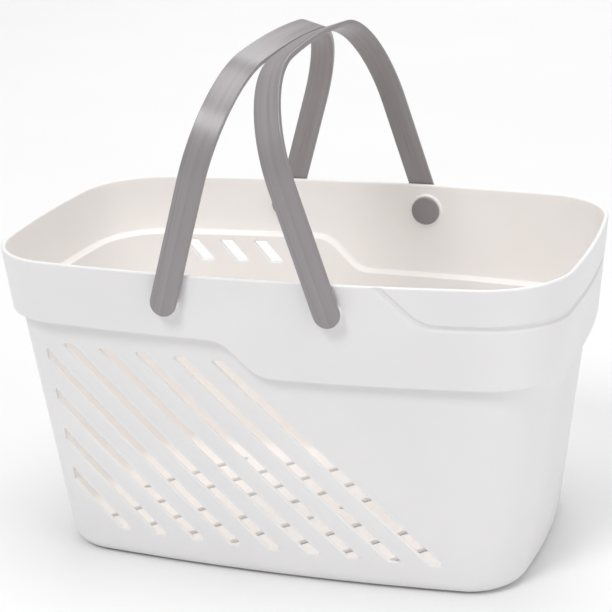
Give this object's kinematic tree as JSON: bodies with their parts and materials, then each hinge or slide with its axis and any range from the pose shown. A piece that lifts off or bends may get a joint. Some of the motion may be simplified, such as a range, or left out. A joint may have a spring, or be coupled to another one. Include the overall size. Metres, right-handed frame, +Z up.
{
  "type": "shower caddy",
  "caption": "Carrying basket for bath things, with slanted drain slots in its long walls, a deep rim band and two bail handles that fold down round its ends.",
  "frame": {"origin": "centre of the base, on the surface that the basket stands on", "axes": "+X along the basket's length, towards the end with the deep band; -Y towards the front; +Z up"},
  "size_m": [0.3098, 0.1884, 0.2733],
  "materials": {
    "basket_plastic": "satin moulded polypropylene, warm white",
    "handle_plastic": "satin moulded polypropylene, warm grey, with faint lengthwise flow lines",
    "button_plastic": "satin moulded plastic, warm grey"
  },
  "bodies": {
    "tub": {"basket": "basket_plastic"},
    "left_bail": {"handle_left": "handle_plastic", "button_left_front": "button_plastic", "button_left_rear": "button_plastic"},
    "right_bail": {"handle_right": "handle_plastic", "button_right_front": "button_plastic", "button_right_rear": "button_plastic"}
  },
  "joints": [
    {"name": "left_swing", "type": "hinge", "parent": "tub", "child": "left_bail", "pos_m": [-0.0424, 0, 0.1557], "axis": [0, -1, 0], "range_deg": [0, 135]},
    {"name": "right_swing", "type": "hinge", "parent": "tub", "child": "right_bail", "pos_m": [0.0424, 0, 0.1557], "axis": [0, 1, 0], "range_deg": [0, 135]}
  ]
}
